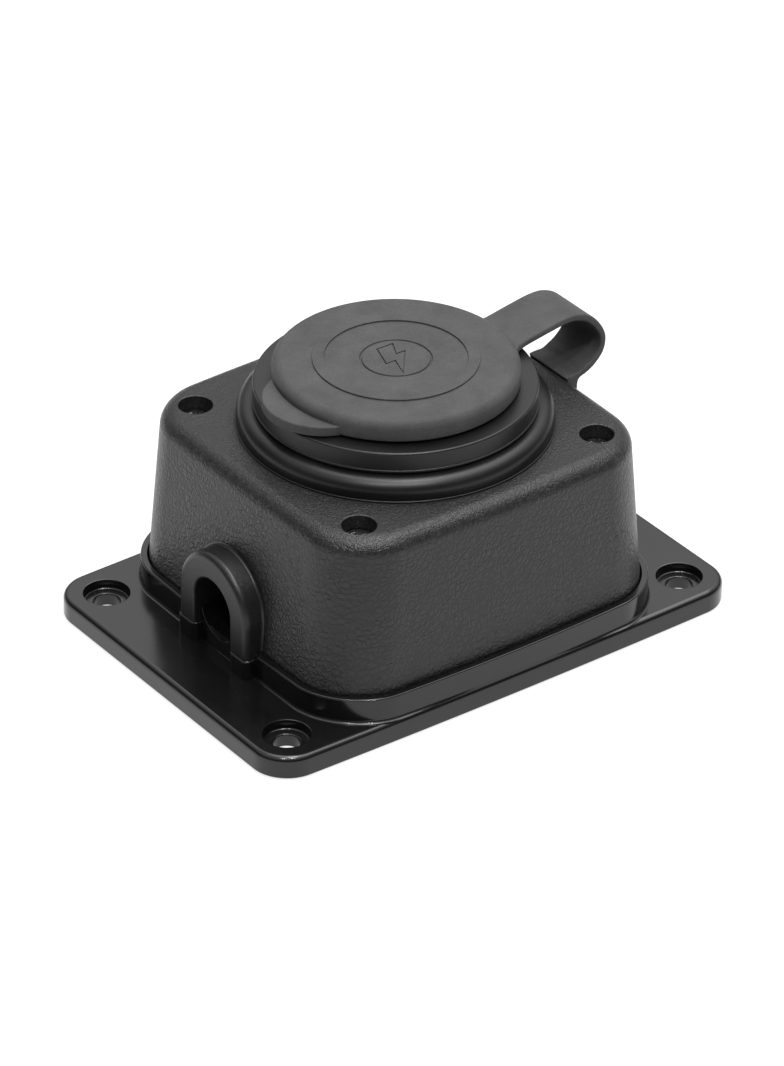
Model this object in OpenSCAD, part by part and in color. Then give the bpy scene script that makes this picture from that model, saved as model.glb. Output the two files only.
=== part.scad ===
// Surface-mount power inlet box with a strapped weather cap.
// Origin: centre of the flange's back face. +Z points out of the wall, +X to the strap side.

/* [Base] */
// Length of the base flange
base_l = 110.2; // [109:0.1:114]
// Width of the base flange at its ends
base_w = 76.4; // [76:0.1:77]
// Thickness of the base flange
base_t = 4.6; // [4.2:0.1:5.2]
// Corner radius of the base flange
base_r = 7.5; // [5:0.5:8]
// Height of the rim around the housing, from the back face
rim_z = 9.8; // [9.4:0.1:10.2]
// Spacing of the mounting holes along the flange
hole_dx = 94; // [92:0.5:96]
// Spacing of the mounting holes across the flange
hole_dy = 60; // [56:0.5:61]
// Diameter of the mounting holes
hole_d = 5.2; // [4:0.1:6]
// Diameter of the counterbores over the mounting holes
cbore_d = 9.0; // [8:0.1:10]

/* [Housing] */
// Height of the housing roof above the back face
roof_z = 42.0; // [41.8:0.1:42.4]
// Wall thickness of the housing
wall = 2.4; // [2:0.1:2.6]
// Radius of the rounded edge round the roof
roof_edge = 3.5; // [2.5:0.1:4]
// Bulge of the short sides at their middle
bow_x = 0.8; // [0.4:0.1:0.9]
// Bulge of the long sides at their middle
bow_y = 1.4; // [1:0.1:1.5]
// Spacing of the housing screws along X
screw_dx = 56; // [55:0.5:57]
// Spacing of the housing screws along Y
screw_dy = 53.2; // [52:0.2:54]
// Depth of the screw heads below the roof
head_depth = 2.9; // [2.5:0.1:3.2]

/* [Cable entry] */
// Height of the cable axis above the back face
entry_z = 15.3; // [15:0.1:15.6]
// Radius of the cable opening
entry_r = 5.9; // [5.5:0.1:6]
// Outer radius of the arched boss
boss_r = 11.1; // [10.4:0.1:11.4]
// How far the boss face stands from the centre
boss_x = 43.1; // [42.6:0.1:43.4]

/* [Inlet] */
// Radius of the well that the connector enters
well_r = 20.4; // [20.3:0.1:20.6]
// Height of the well floor
well_floor_z = 26; // [25:0.5:27]
// Height of the inlet's mouth
mouth_z = 50.8; // [50.6:0.1:51]
// Outer radius of the inlet's upper ring
ring_r = 27.45; // [27:0.05:28]
// Outer radius of the collar on the roof
collar_r = 30.7; // [30:0.1:31]
// Radius of the circle that the contact blades stand on
blade_circle_r = 10.5; // [10:0.1:11]
// Thickness of a contact blade
blade_t = 1.6; // [1.4:0.1:1.8]

/* [Cap] */
// Radius of the cap disc
cap_r = 23.8; // [23.4:0.1:24.2]
// Underside of the cap disc
cap_z = 51.2; // [51.1:0.1:51.4]
// Thickness of the cap disc
cap_t = 4.3; // [4:0.1:4.8]
// Outer radius of the bung that enters the well
bung_r = 19.8; // [19.6:0.1:19.9]
// Width of the strap
strap_w = 12; // [10:0.5:13]
// Thickness of the strap
strap_t = 1.4; // [1.2:0.1:1.6]

/* [Hidden] */
$fn = 96;
eps = 0.01;
black = "#1c1c1e";
rubber = "#26262a";
steel = "#b9bcc0";
brass = "#c9a227";

// Housing and rim outlines: half length, half width and corner radius
base_bow = 0.75;
rim_hx = 40.25;
rim_hy = 37.2;
rim_r = 13.5;
rim_bow = 1.65;
lip = 1.15;
foot_hx = 38.95;
foot_hy = 35.9;
foot_r = 12.4;
head_hx = 36.4;
head_hy = 34.6;
head_r = 12;
foot_z = 6.4;
spring_z = roof_z - roof_edge;
roof_t = 2.6;
roof_hole_r = 24.2;
core_t = 2.6;
groove_z = 5.4;
tongue_z = 8.6;
pillar_top = 11.2;
column_r = 5.2;
head_bore_r = 3.3;
head_seat_z = roof_z - head_depth - 2.2;
boss_edge = 1.3;
boss_depth = 7.4;
step_z = 8.7;
trough_drop = 1.9;
leg_in = 5.7;
screw_r = 1.75;
insert_r = 2.6;
insert_h = 6;

// Inlet stack
barrel_r = 23.9;
barrel_bottom = 15.5;
collar_top = 46.3;
collar_edge = 2.6;
collar_foot = 0.35;
gasket_r = 28.5;
gasket_w = 3;
gasket_t = 0.8;
flange_z = 46.6;
carrier_bottom = 17.5;
carrier_r = 20.2;
shoulder_r = 15.5;
shoulder_t = 4;
blade_top = 44.4;
terminal_bottom = 9.5;
terminal_screw_z = 11.8;
cover_bottom = 6.3;
line_a = 210;
neutral_a = 330;
earth_a = 90;
live_span = 40;
earth_span = 54;
carrier_screw_r = 18;
cover_screw_r = 15.5;
clamp_x = -32.3;
clamp_dy = 9.6;
clamp_screw_r = 1.25;
stud_z = 33.6;
stud_hole_r = 2;
seal_r = 19.4;
seal_z = cap_z - 3.2;
tab_c = 17.1;
tab_r = 11.6;
mark_h = 0.35;

// ---- outlines -----------------------------------------------------------------------------

// A point on a side is pushed out by bx or by at the middle of that side, and not at all at its ends
function bulge(p, hx, hy, bx, by) = [
  p.x + sign(p.x) * bx * (1 - pow(p.y / hy, 2)) * pow(abs(p.x / hx), 8),
  p.y + sign(p.y) * by * (1 - pow(p.x / hx, 2)) * pow(abs(p.y / hy), 8)];

// Rounded rectangle with bowed sides: m steps along each side and n round each corner
function bowed_outline(hx, hy, r, bx, by, m = 8, n = 10) = [
  for (k = [0:3])
    let (sx = k == 0 || k == 3 ? 1 : -1, sy = k < 2 ? 1 : -1,
         lx = hx - r, ly = hy - r, vertical = k % 2 == 0)
    for (i = [0:n + m - 1])
      let (a = 90 * k + 90 * i / n,
           t = (i - n) / m,
           p = i <= n ? [sx * lx + r * cos(a), sy * ly + r * sin(a)]
             : vertical ? [sx * lx * (1 - 2 * t), sy * hy] : [sx * hx, sy * ly * (1 - 2 * t)])
      bulge(p, hx, hy, bx, by)];

module bowed(hx, hy, r, bx = bow_x, by = bow_y) polygon(bowed_outline(hx, hy, r, bx, by));

// Rim outline moved in by g
module rim_outline(g) bowed(rim_hx - g, rim_hy - g, rim_r - g, bow_x, rim_bow);

// Outline of the housing wall at its foot, moved in by g
module foot_outline(g) bowed(foot_hx - g, foot_hy - g, foot_r - g);

// Rounded rectangle of true arcs
module round_rect(l, w, r) {
  square([l - 2 * r, w], center = true);
  square([l, w - 2 * r], center = true);
  for (sx = [-1, 1], sy = [-1, 1]) translate([sx * (l / 2 - r), sy * (w / 2 - r)]) circle(r);
}

// Closed convex body of the housing, smaller by g on every face
module housing_body(g) {
  edge = roof_edge - g;
  hull() {
    translate([0, 0, foot_z - (g > 0 ? 1 : 0)]) linear_extrude(eps) foot_outline(g);
    for (a = [0:15:90])
      translate([0, 0, spring_z + edge * sin(a) - eps]) linear_extrude(eps)
        bowed(head_hx - g - edge * (1 - cos(a)), head_hy - g - edge * (1 - cos(a)),
          head_r - g - edge * (1 - cos(a)) * 0.6);
  }
}

module at_corners(dx, dy) for (sx = [-1, 1], sy = [-1, 1])
  translate([sx * dx / 2, sy * dy / 2, 0]) children();

// Cylinder along X from x0 to x1, at height z
module rod_x(r, x0, x1, z) translate([x0, 0, z]) rotate([0, 90, 0]) cylinder(r = r, h = x1 - x0);

// U-shaped prism along X: half round on top of a straight-sided slot that goes down to z0
module arch_x(r, x0, x1, z0) {
  rod_x(r, x0, x1, entry_z);
  translate([x0, -r, z0]) cube([x1 - x0, 2 * r, entry_z - z0]);
}

// Cross recess cut in a screw head whose top is at the origin
module cross_recess(w, d) for (a = [0, 90]) rotate(a)
  translate([-w / 2, -w / 10, -d]) cube([w, w / 5, d + 1]);

// Pan-head screw with its head seat at the origin and its shank going down
module pan_screw(head_r, head_h, shank_r, length) {
  difference() {
    cylinder(r = head_r, h = head_h);
    translate([0, 0, head_h]) cross_recess(head_r * 1.25, head_h * 0.55);
  }
  translate([0, 0, -length]) cylinder(r = shank_r, h = length + eps);
}

// ---- base and housing ---------------------------------------------------------------------

// Wall that stands on the flange, between two outlines
module standing(z) translate([0, 0, base_t - 1]) linear_extrude(z - base_t + 1) difference() {
  children(0);
  children(1);
}

module base_plate() color(black) difference() {
  union() {
    linear_extrude(base_t) bowed(base_l / 2, base_w / 2, base_r, 0, base_bow);
    // Rim that the housing drops into, lower where the cable boss crosses it
    difference() {
      standing(rim_z) {
        rim_outline(0);
        rim_outline(lip);
      }
      translate([-boss_x, -boss_r - 0.2, step_z]) cube([5, 2 * boss_r + 0.4, 5]);
    }
    // Seat under the gasket, and the tongue inside the housing wall
    standing(groove_z) {
      rim_outline(lip / 2);
      rim_outline(6);
    }
    standing(tongue_z) {
      foot_outline(wall + 0.5);
      foot_outline(wall + 2.1);
    }
    // Pillars under the housing screws
    at_corners(screw_dx, screw_dy) translate([0, 0, base_t - 1])
      cylinder(r = 4.6, h = pillar_top - base_t + 1);
    // Posts for the cable clamp
    for (s = [-1, 1]) translate([clamp_x, s * clamp_dy, base_t - 1])
      cylinder(r = 3.2, h = entry_z - base_t + 0.6);
    // Steps under the legs of the cable boss
    for (s = [-1, 1]) translate([-boss_x + 1.8, s * (boss_r + leg_in) / 2, base_t - 1])
      linear_extrude(step_z - base_t + 1) round_rect(3.2, boss_r - leg_in, 1.2);
    // Saddle that closes the opening under the cable
    translate([-boss_x + 1.7, -entry_r + 0.3, base_t - 1])
      cube([4.6, 2 * entry_r - 0.6, entry_z - base_t - 2]);
  }
  // Mounting holes with counterbores
  at_corners(hole_dx, hole_dy) {
    translate([0, 0, -1]) cylinder(d = hole_d, h = base_t + 2);
    translate([0, 0, base_t - 2]) cylinder(d = cbore_d, h = 3);
  }
  // Holes for the threaded inserts and the clamp screws
  at_corners(screw_dx, screw_dy) translate([0, 0, pillar_top - insert_h])
    cylinder(r = insert_r, h = insert_h + 1);
  for (s = [-1, 1]) translate([clamp_x, s * clamp_dy, base_t + 1])
    cylinder(r = clamp_screw_r + 0.05, h = 20);
  // Trough under the cable
  rod_x(entry_r, -boss_x - 2, clamp_x + 3, entry_z - trough_drop);
  // Cored-out pockets in the back
  for (sx = [-1, 1], sy = [-1, 1]) translate([sx * 18.5, sy * 18, -1]) linear_extrude(base_t - core_t + 1)
    round_rect(31, 29, 3);
}

// Arched boss over the cable, with a rounded front edge
module cable_boss() {
  edge = boss_edge;
  translate([-boss_x, 0, entry_z]) rotate([0, 90, 0]) rotate_extrude() {
    square([boss_r - edge, boss_depth]);
    translate([0, edge]) square([boss_r, boss_depth - edge]);
    translate([boss_r - edge, edge]) circle(edge, $fn = 48);
  }
  translate([0, 0, step_z + 0.1]) linear_extrude(entry_z - step_z - 0.1) {
    translate([-boss_x + edge, -boss_r]) square([boss_depth - edge, 2 * boss_r]);
    translate([-boss_x, -boss_r + edge]) square([boss_depth, 2 * (boss_r - edge)]);
    for (s = [-1, 1]) translate([-boss_x + edge, s * (boss_r - edge)]) circle(edge, $fn = 48);
  }
}

module housing() color(black) difference() {
  union() {
    difference() {
      housing_body(0);
      difference() {
        housing_body(wall);
        translate([-60, -60, roof_z - roof_t]) cube([120, 120, 20]);
      }
      translate([0, 0, roof_z - roof_t - 1]) cylinder(r = roof_hole_r, h = roof_t + 2);
    }
    // Columns round the screws
    at_corners(screw_dx, screw_dy) translate([0, 0, pillar_top + 0.1])
      cylinder(r = column_r, h = roof_z - roof_t - pillar_top + 0.4);
    difference() {
      cable_boss();
      translate([-50, -20, 0]) cube([100, 40, step_z + 0.1]);
    }
  }
  at_corners(screw_dx, screw_dy) {
    translate([0, 0, pillar_top - 1]) cylinder(r = 2, h = roof_z);
    translate([0, 0, head_seat_z]) cylinder(r = head_bore_r, h = 10);
  }
  arch_x(entry_r, -boss_x - 1, -34, 2);
  rod_x(stud_hole_r, 34, 42, stud_z);
}

// Gasket under the housing wall, open where the saddle under the cable stands
module perimeter_gasket() color(rubber) translate([0, 0, groove_z])
  linear_extrude(foot_z - groove_z) difference() {
    foot_outline(0.2);
    foot_outline(wall - 0.3);
    translate([-50, -entry_r]) square([20, 2 * entry_r]);
  }

module housing_screws() color(steel) at_corners(screw_dx, screw_dy) translate([0, 0, head_seat_z])
  pan_screw(3.0, 2.2, screw_r, head_seat_z - pillar_top + insert_h - 0.8);

module threaded_inserts() color(brass) at_corners(screw_dx, screw_dy)
  translate([0, 0, pillar_top - insert_h]) difference() {
    cylinder(r = insert_r, h = insert_h);
    translate([0, 0, -1]) cylinder(r = screw_r, h = insert_h + 2);
  }

// ---- inlet --------------------------------------------------------------------------------

module collar_ring() color(black) rotate_extrude() difference() {
  union() {
    inner = roof_hole_r + 0.1;
    outer = collar_r - 0.2;
    translate([inner, roof_z]) square([collar_r - inner, collar_foot]);
    translate([inner, roof_z]) square([outer - inner, collar_top - collar_edge - roof_z]);
    translate([inner, roof_z]) square([outer - collar_edge - inner, collar_top - roof_z]);
    translate([outer - collar_edge, collar_top - collar_edge]) intersection() {
      circle(collar_edge, $fn = 48);
      square(collar_edge);
    }
  }
  translate([gasket_r - gasket_w, roof_z - 1]) square([gasket_w, gasket_t + 1]);
}

module roof_gasket() color(rubber) translate([0, 0, roof_z]) difference() {
  cylinder(r = gasket_r, h = gasket_t);
  translate([0, 0, -1]) cylinder(r = gasket_r - gasket_w, h = gasket_t + 2);
}

module flange_gasket() color(rubber) translate([0, 0, collar_top]) difference() {
  cylinder(r = 27.1, h = flange_z - collar_top);
  translate([0, 0, -1]) cylinder(r = roof_hole_r, h = 4);
}

module inlet_shell() color(black) difference() {
  rotate_extrude() {
    translate([well_r, flange_z]) square([ring_r - well_r - 0.5, mouth_z - flange_z]);
    translate([well_r, flange_z]) square([ring_r - well_r, mouth_z - flange_z - 0.5]);
    translate([ring_r - 0.5, mouth_z - 0.5]) circle(0.5, $fn = 32);
    translate([well_r, barrel_bottom]) square([barrel_r - well_r, flange_z - barrel_bottom + 1]);
    translate([shoulder_r, well_floor_z - shoulder_t]) square([well_r - shoulder_r + 1, shoulder_t]);
  }
  for (a = [0, 120, 240]) rotate(a) translate([carrier_screw_r, 0, well_floor_z - shoulder_t - 1])
    cylinder(r = 1.2, h = 4.2);
}

module retaining_nut() color(black) translate([0, 0, roof_z - roof_t - 5]) difference() {
  cylinder(r = 28.6, h = 5);
  translate([0, 0, -1]) cylinder(r = barrel_r + 0.05, h = 7);
  for (a = [0:45:315]) rotate(a) translate([27, -2, -1]) cube([4, 4, 3.4]);
}

// Arc-shaped column of a contact blade
module blade_prism(a, span, t, z0, z1) rotate(a - span / 2) translate([0, 0, z0])
  rotate_extrude(angle = span) translate([blade_circle_r - t / 2, 0]) square([t, z1 - z0]);

module contact_carrier() color("#3a3a3d") difference() {
  union() {
    translate([0, 0, carrier_bottom])
      cylinder(r = carrier_r, h = well_floor_z - shoulder_t - carrier_bottom);
    translate([0, 0, well_floor_z - shoulder_t - 1])
      cylinder(r = shoulder_r - 0.2, h = shoulder_t + 1);
  }
  for (b = [[line_a, live_span], [neutral_a, live_span], [earth_a, earth_span]])
    blade_prism(b.x, b.y, blade_t, carrier_bottom - 1, well_floor_z + 1);
  for (a = [0, 120, 240]) rotate(a) translate([carrier_screw_r, 0, carrier_bottom - 1]) {
    cylinder(r = 1.35, h = 20);
    cylinder(r = 2.15, h = 2.8);
  }
  for (a = [30, 150]) rotate(a) translate([cover_screw_r, 0, carrier_bottom - 1])
    cylinder(r = 1.25, h = 4.6);
}

module carrier_screws() color(steel) for (a = [0, 120, 240]) rotate(a)
  translate([carrier_screw_r, 0, carrier_bottom + 1.8]) mirror([0, 0, 1]) pan_screw(2.0, 1.5, 1.15, 5.4);

module blade(a, span) color(brass) difference() {
  blade_prism(a, span, blade_t, terminal_bottom + 2, blade_top);
  // Lead-in chamfers on the tip
  for (s = [-1, 1]) rotate(a + s * span / 2) translate([blade_circle_r, 0, blade_top])
    rotate([45, 0, 0]) cube([4, 1.6, 1.6], center = true);
}
module blade_line() blade(line_a, live_span);
module blade_neutral() blade(neutral_a, live_span);
module blade_earth() blade(earth_a, earth_span);

// Clamp block behind a blade: the wire enters from below, the screw from outside
module terminal(a, half_w, span) color(brass) difference() {
  rotate(a) translate([7.6, -half_w, terminal_bottom])
    cube([10.4, 2 * half_w, carrier_bottom - terminal_bottom]);
  blade_prism(a, span, blade_t, terminal_bottom + 2, carrier_bottom + 1);
  rotate(a) translate([14.6, 0, terminal_bottom - 1]) cylinder(r = 2, h = 7);
  rotate(a) rod_x(1.75, 14.6, 19, terminal_screw_z);
}
module terminal_line() terminal(line_a, 4.2, live_span);
module terminal_neutral() terminal(neutral_a, 4.2, live_span);
module terminal_earth() terminal(earth_a, 5.4, earth_span);

module terminal_screws() color(steel) for (a = [line_a, neutral_a, earth_a]) rotate(a)
  translate([18, 0, terminal_screw_z]) rotate([0, 90, 0]) pan_screw(2.1, 1.6, 1.7, 2.6);

module terminal_cover() color(black) difference() {
  union() {
    translate([0, 0, cover_bottom]) difference() {
      cylinder(r = barrel_r, h = barrel_bottom - cover_bottom);
      translate([0, 0, 1.6]) cylinder(r = barrel_r - 1.6, h = 20);
    }
    translate([0, 0, barrel_bottom - 1.5]) difference() {
      cylinder(r = carrier_r - 0.05, h = 3.2);
      translate([0, 0, -1]) cylinder(r = carrier_r - 1.4, h = 6);
    }
    translate([0, 0, barrel_bottom - 1.5]) difference() {
      cylinder(r = barrel_r - 1, h = 1.5);
      translate([0, 0, -1]) cylinder(r = carrier_r - 1.4, h = 6);
    }
    for (a = [30, 150]) rotate(a) translate([cover_screw_r, 0, cover_bottom]) cylinder(r = 2.9, h = 11.2);
  }
  // Way in for the conductors
  translate([-30, -6, cover_bottom + 2.4]) cube([12, 12, 7]);
  for (a = [30, 150]) rotate(a) translate([cover_screw_r, 0, cover_bottom - 1]) {
    cylinder(r = 1.35, h = 20);
    cylinder(r = 2.25, h = 2.8);
  }
}

module cover_screws() color(steel) for (a = [30, 150]) rotate(a)
  translate([cover_screw_r, 0, cover_bottom + 1.8]) mirror([0, 0, 1]) pan_screw(2.1, 1.5, 1.2, 12.4);

// ---- cable clamp --------------------------------------------------------------------------

module cable_clamp() color("#8d9094") difference() {
  union() {
    translate([clamp_x - 2.6, -clamp_dy - 3.4, entry_z + 0.1]) cube([5.2, 2 * clamp_dy + 6.8, 2]);
    rod_x(entry_r + 1.6, clamp_x - 2.6, clamp_x + 2.6, entry_z);
  }
  translate([clamp_x - 10, -20, 0]) cube([20, 40, entry_z + 0.1]);
  rod_x(entry_r - 0.3, clamp_x - 5, clamp_x + 5, entry_z);
  for (s = [-1, 1]) translate([clamp_x, s * clamp_dy, 0]) cylinder(r = 1.5, h = 40);
}

module clamp_screws() color(steel) for (s = [-1, 1]) translate([clamp_x, s * clamp_dy, entry_z + 2.1])
  pan_screw(2.0, 1.7, clamp_screw_r, 9);

// ---- cap ----------------------------------------------------------------------------------

// Middle line of the strap in the X-Z plane, from the cap round to the foot
strap_line = [[24.9, 52.1], [28, 52.7], [32, 53.4], [36, 54.0], [39, 53.9], [42, 52.6], [44.3, 50.2],
  [45.6, 47.4], [45.2, 44.6], [43.4, 42.5], [41.6, 41.4]];

function unit(v) = v / norm(v);
function tangent(l, i) = unit(l[min(i + 1, len(l) - 1)] - l[max(i - 1, 0)]);
function offset_line(l, d) = [for (i = [0:len(l) - 1]) let (t = tangent(l, i)) l[i] + d * [-t.y, t.x]];
function reversed(l) = [for (i = [len(l) - 1:-1:0]) l[i]];
wall_lean = (foot_hx - head_hx) / (spring_z - foot_z);
function wall_x(z) = head_hx + bow_x + (spring_z - z) * wall_lean;

// Foot of the strap, which lies on the roof's rounded edge and against the wall
foot_line = [[40.5, 40.3], [39.7, 39.6], [wall_x(38) + 2.3, 38.2], [wall_x(28) + 2.3, 28.2],
  [wall_x(28) + 1.8, 27.6], [wall_x(28) + 0.1, 28], [wall_x(38) + 0.1, 38.4], [36.9, 40.1],
  [36.6, 41.1], [38, 41.3]];

module strap() color(rubber) difference() {
  rotate([90, 0, 0]) translate([0, 0, -strap_w / 2]) linear_extrude(strap_w)
    polygon(concat(offset_line(strap_line, strap_t / 2), foot_line,
      reversed(offset_line(strap_line, -strap_t / 2))));
  rod_x(stud_hole_r, 34, 44, stud_z);
}

module strap_stud() color(black) {
  x0 = wall_x(stud_z) + 2.85;
  rod_x(3.4, x0, x0 + 1.4, stud_z);
  rod_x(1.9, wall_x(stud_z) - wall - 1.2, x0 + eps, stud_z);
  rod_x(2.3, wall_x(stud_z) - wall - 2.6, wall_x(stud_z) - wall - 1, stud_z);
}

// Tab that a finger lifts: a circle segment that reaches past the disc
module finger_tab() translate([0, 0, cap_z]) linear_extrude(1.9) difference() {
  translate([-tab_c, 0]) circle(tab_r);
  circle(cap_r - 2);
}

// Zigzag bolt sign, raised on the cap
module bolt_sign()
  polygon([[-0.9, 4.6], [2.4, 4.6], [0.7, 1.1], [2.7, 1.1], [-2, -5], [-0.5, -0.5], [-2.6, -0.5]]);

module cap() color(rubber) difference() {
  union() {
    rotate_extrude() {
      translate([0, cap_z]) square([cap_r, cap_t - 1.8]);
      translate([0, cap_z]) square([cap_r - 1.8, cap_t]);
      translate([cap_r - 1.8, cap_z + cap_t - 1.8]) circle(1.8, $fn = 48);
      translate([13.75, cap_z + cap_t - 1]) square([2.25, 1 + mark_h]);
      translate([bung_r - 2.4, cap_z - 5.6]) square([2.4, 6]);
    }
    finger_tab();
    translate([0, 0, cap_z + cap_t - 0.5]) linear_extrude(0.5 + mark_h) bolt_sign();
    // Root of the strap
    translate([cap_r - 2, -strap_w / 2, cap_z]) cube([2.8, strap_w, 1.8]);
  }
  rotate_extrude() translate([seal_r, seal_z]) circle(0.85, $fn = 32);
}

module cap_seal() color("#303034") rotate_extrude() translate([seal_r, seal_z]) circle(0.7, $fn = 32);

base_plate();
housing();
perimeter_gasket();
housing_screws();
threaded_inserts();
collar_ring();
roof_gasket();
flange_gasket();
inlet_shell();
retaining_nut();
contact_carrier();
carrier_screws();
blade_line();
blade_neutral();
blade_earth();
terminal_line();
terminal_neutral();
terminal_earth();
terminal_screws();
terminal_cover();
cover_screws();
cable_clamp();
clamp_screws();
strap();
strap_stud();
cap();
cap_seal();
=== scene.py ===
import math

import bmesh
import bpy
from mathutils import Matrix, Vector

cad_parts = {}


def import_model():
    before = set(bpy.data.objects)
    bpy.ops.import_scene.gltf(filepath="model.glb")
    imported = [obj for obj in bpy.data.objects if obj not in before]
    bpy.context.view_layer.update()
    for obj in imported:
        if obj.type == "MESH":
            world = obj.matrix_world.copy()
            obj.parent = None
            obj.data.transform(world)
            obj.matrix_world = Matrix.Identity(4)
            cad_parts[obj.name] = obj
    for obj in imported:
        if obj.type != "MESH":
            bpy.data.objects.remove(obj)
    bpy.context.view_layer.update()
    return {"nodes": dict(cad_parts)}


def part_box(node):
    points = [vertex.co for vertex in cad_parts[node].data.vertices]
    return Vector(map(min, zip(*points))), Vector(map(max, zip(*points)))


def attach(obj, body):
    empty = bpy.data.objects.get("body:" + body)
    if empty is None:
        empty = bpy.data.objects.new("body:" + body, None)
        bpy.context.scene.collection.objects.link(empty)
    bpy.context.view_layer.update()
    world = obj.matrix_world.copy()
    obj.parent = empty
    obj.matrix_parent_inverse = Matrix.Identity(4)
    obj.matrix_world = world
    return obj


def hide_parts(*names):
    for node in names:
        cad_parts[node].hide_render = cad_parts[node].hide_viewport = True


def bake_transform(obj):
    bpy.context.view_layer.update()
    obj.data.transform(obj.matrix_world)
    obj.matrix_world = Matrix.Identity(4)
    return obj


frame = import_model()
nodes = frame["nodes"]
scene = bpy.context.scene
MM = 0.001


def mm_box(node):
    """Lowest and highest corner of a CAD node, in millimetres."""
    lo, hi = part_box(node)
    return [c / MM for c in lo], [c / MM for c in hi]


# ---- sizes, in millimetres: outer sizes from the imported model, the rest as in its design ---

_, plate_hi = mm_box("base_plate")
house_lo, house_hi = mm_box("housing")
_, collar_hi = mm_box("collar_ring")
_, inlet_hi = mm_box("inlet_shell")
_, screw_hi = mm_box("housing_screws")
strap_lo, strap_hi = mm_box("strap")
clamp_lo, clamp_hi = mm_box("cable_clamp")

# Base plate. An outline is (half length, half width, corner radius, bow of the ends, bow of the sides)
PLATE_BOW = 0.75
PLATE_HX = plate_hi[0]
PLATE_HY = plate_hi[1] - PLATE_BOW
PLATE_T = 4.6
PLATE_R = 7.5
PLATE_EDGE = 1.2
# Mounting holes, and the cored pockets in the back: centre, half size, corner radius, depth
HOLE_X, HOLE_Y = 47.0, 30.0
HOLE_R, CBORE_R, CBORE_DEPTH = 2.6, 4.5, 2.0
POCKET_AT, POCKET_HALF, POCKET_R, POCKET_DEPTH = (18.5, 18), (15.5, 14.5), 3, 2.0
# Rim round the housing: its wall is LIP thick at the foot and LIP_TOP at the top
RIM = (40.25, 37.2, 13.5, 0.8, 1.65)
RIM_Z = 9.8
RIM_FILLET, RIM_EDGE, LIP_EDGE = 0.7, 0.32, 0.2
LIP, LIP_TOP = 1.15, 1.38
# Inside the rim: the floor that the housing's foot stands over, and a low wall inside the foot
FLOOR_W, FLOOR_Z = 6, 5.4
SEAT_GAP, SEAT_W, SEAT_Z = 0.5, 1.6, 8.6
# Pillars for the housing screws and posts for the clamp screws. All grow from ROOT below the plate's top
ROOT = 0.5
PILLAR_BORE, PILLAR_R, PILLAR_Z = 2.62, 4.6, 11.2
POST_BORE, POST_R, POST_Y, POST_Z = 1.3, 3.2, 9.6, 14.9
POST_X = (clamp_lo[0] + clamp_hi[0]) / 2
# Under the cable entry: a step for each leg of its boss, a saddle with a trough, and a notch in the rim
STEP_X, STEP_Z = -41.52, 8.7
STEP_HALF, STEP_R = (1.83, 2.9), 1.3
SADDLE_X, SADDLE_DROP, SADDLE_GAP = (-41.4, -36.8), 3, 0.3
TROUGH_DROP = 1.9
NOTCH_X, NOTCH_HY = (-46, -36), 11

# Housing: outlines of its foot and of its head below the rounded roof edge
FOOT = (38.95, 35.9, 12.4, 0.8, 1.4)
HEAD = (36.4, 34.6, 12.0, 0.8, 1.4)
FOOT_Z, ROOF_Z = house_lo[2], house_hi[2]
FOOT_EDGE, ROOF_EDGE = 0.3, 3.5
ROOF_T = 2.6
WALL = 2.4
WALL_LEAN = (FOOT[0] - HEAD[0]) / (ROOF_Z - ROOF_EDGE - FOOT_Z)
SCREW_X, SCREW_Y = screw_hi[0] - 3.0, screw_hi[1] - 3.0
# Screw columns, with the clearance hole for the shank and the bore down to the head
COLUMN_R, COLUMN_Z = 5.2, 11.3
SHANK_R, BORE_R, BORE_Z = 2.0, 3.3, 36.9
ROOF_HOLE_R = 24.2
# Cable boss and entry
BOSS_X = -house_lo[0]
BOSS_R = 11.1
BOSS_EDGE = 1.3
BOSS_DEPTH = 7.4
BOSS_FILLET = 0.5
BOSS_SIDE = -36
ENTRY_R, ENTRY_Z = 5.9, 15.3
ENTRY_END = -34
ENTRY_FLARE = 0.45

# Collar and inlet
COLLAR_R, COLLAR_SHOULDER, COLLAR_EDGE = 24.3, 30.5, 2.6
GROOVE_R, GROOVE_DEPTH = (25.5, 28.5), 0.8
FLANGE_Z, FLANGE_R = 46.6, 27.1
WELL_R, WELL_FLOOR, INNER_R = 20.4, 26, 15.5
SHELL_R, SHELL_Z = 23.9, (15.5, 22)

# Cap and strap
CAP_R = 23.8
CAP_Z, CAP_TOP = 51.2, 55.5
BUNG_R, BUNG_INNER, BUNG_DEPTH = 19.8, 17.4, 5.6
SEAL_R, SEAL_T, SEAL_DROP = 19.4, 0.85, 3.2
RING_R, CIRCLE_R = (13.75, 16.0), (6.6, 6.9)
TAB_X, TAB_R, TAB_T = -17.1, 11.6, 1.9
TAB_TIP = -19.5
MARK = 0.35
STRAP_W = strap_hi[1] - strap_lo[1]
STRAP_T = 1.4
STRAP_FOOT, STRAP_FOOT_R = 28.0, 3
STRAP_OFF_WALL = (0.1, 2.3)
STRAP_FLARE = 1.6


# ---- mesh helpers --------------------------------------------------------------------------


def obj(name, data):
    """New object in the scene, over a mesh, light or camera."""
    ob = bpy.data.objects.new(name, data)
    scene.collection.objects.link(ob)
    return ob


def solid(name, verts, faces):
    """Mesh object from points in millimetres, with doubled points merged and faces turned outwards."""
    mesh = bpy.data.meshes.new(name)
    mesh.from_pydata([[c * MM for c in v] for v in verts], [], faces)
    bm = bmesh.new()
    bm.from_mesh(mesh)
    bmesh.ops.remove_doubles(bm, verts=bm.verts, dist=1e-7)
    bmesh.ops.dissolve_degenerate(bm, dist=1e-8, edges=bm.edges)
    bmesh.ops.recalc_face_normals(bm, faces=bm.faces)
    bm.to_mesh(mesh)
    bm.free()
    return obj(name, mesh)


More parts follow.
